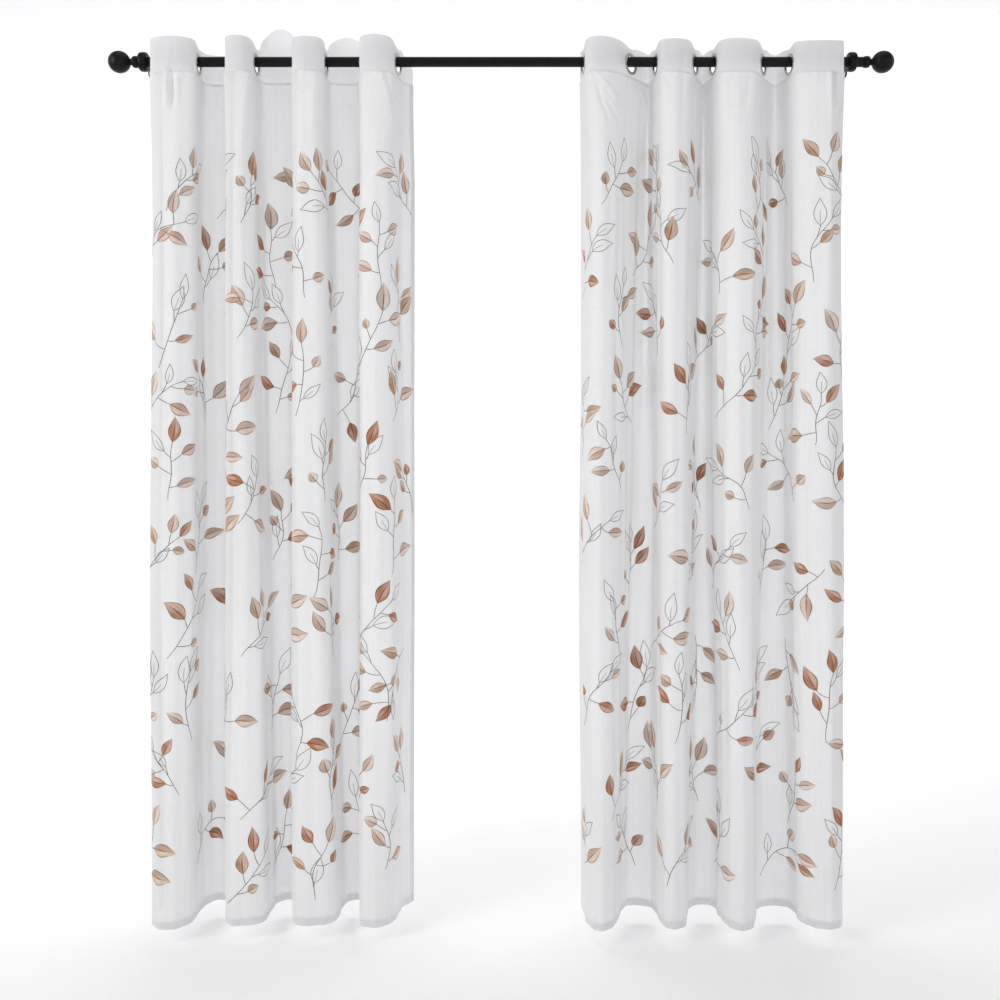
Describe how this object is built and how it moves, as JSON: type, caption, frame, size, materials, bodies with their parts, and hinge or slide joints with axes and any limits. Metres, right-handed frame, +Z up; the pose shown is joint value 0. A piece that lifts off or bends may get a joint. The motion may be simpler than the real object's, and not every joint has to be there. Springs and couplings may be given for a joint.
{
  "type": "pair of sheer eyelet curtains on a rod",
  "caption": "Two sheer voile curtain panels with metal eyelets hang in soft upright folds from a round rod with ball finials and wall brackets.",
  "frame": {"origin": "middle of the left wall plate's back face, level with the rod's axis", "axes": "+X along the rod to the right as seen from the room, +Y into the wall, +Z up; the room is on the -Y side"},
  "size_m": [2.2139, 0.1815, 2.5182],
  "materials": {
    "rod_metal": "black satin paint",
    "eyelet_metal": "dark nickel plate",
    "voile": "sheer plain weave with a printed leaf pattern",
    "heading_cloth": "double layer of the same voile"
  },
  "bodies": {
    "root": {"rod": "rod_metal", "finial_left": "rod_metal", "finial_right": "rod_metal", "bracket_left": "rod_metal", "bracket_right": "rod_metal", "panel_left": "voile", "panel_right": "voile", "heading_left": "heading_cloth", "heading_right": "heading_cloth", "eyelet_left_1": "eyelet_metal", "eyelet_left_2": "eyelet_metal", "eyelet_left_3": "eyelet_metal", "eyelet_left_4": "eyelet_metal", "eyelet_left_5": "eyelet_metal", "eyelet_left_6": "eyelet_metal", "eyelet_left_7": "eyelet_metal", "eyelet_left_8": "eyelet_metal", "eyelet_right_1": "eyelet_metal", "eyelet_right_2": "eyelet_metal", "eyelet_right_3": "eyelet_metal", "eyelet_right_4": "eyelet_metal", "eyelet_right_5": "eyelet_metal", "eyelet_right_6": "eyelet_metal", "eyelet_right_7": "eyelet_metal", "eyelet_right_8": "eyelet_metal"}
  },
  "joints": []
}
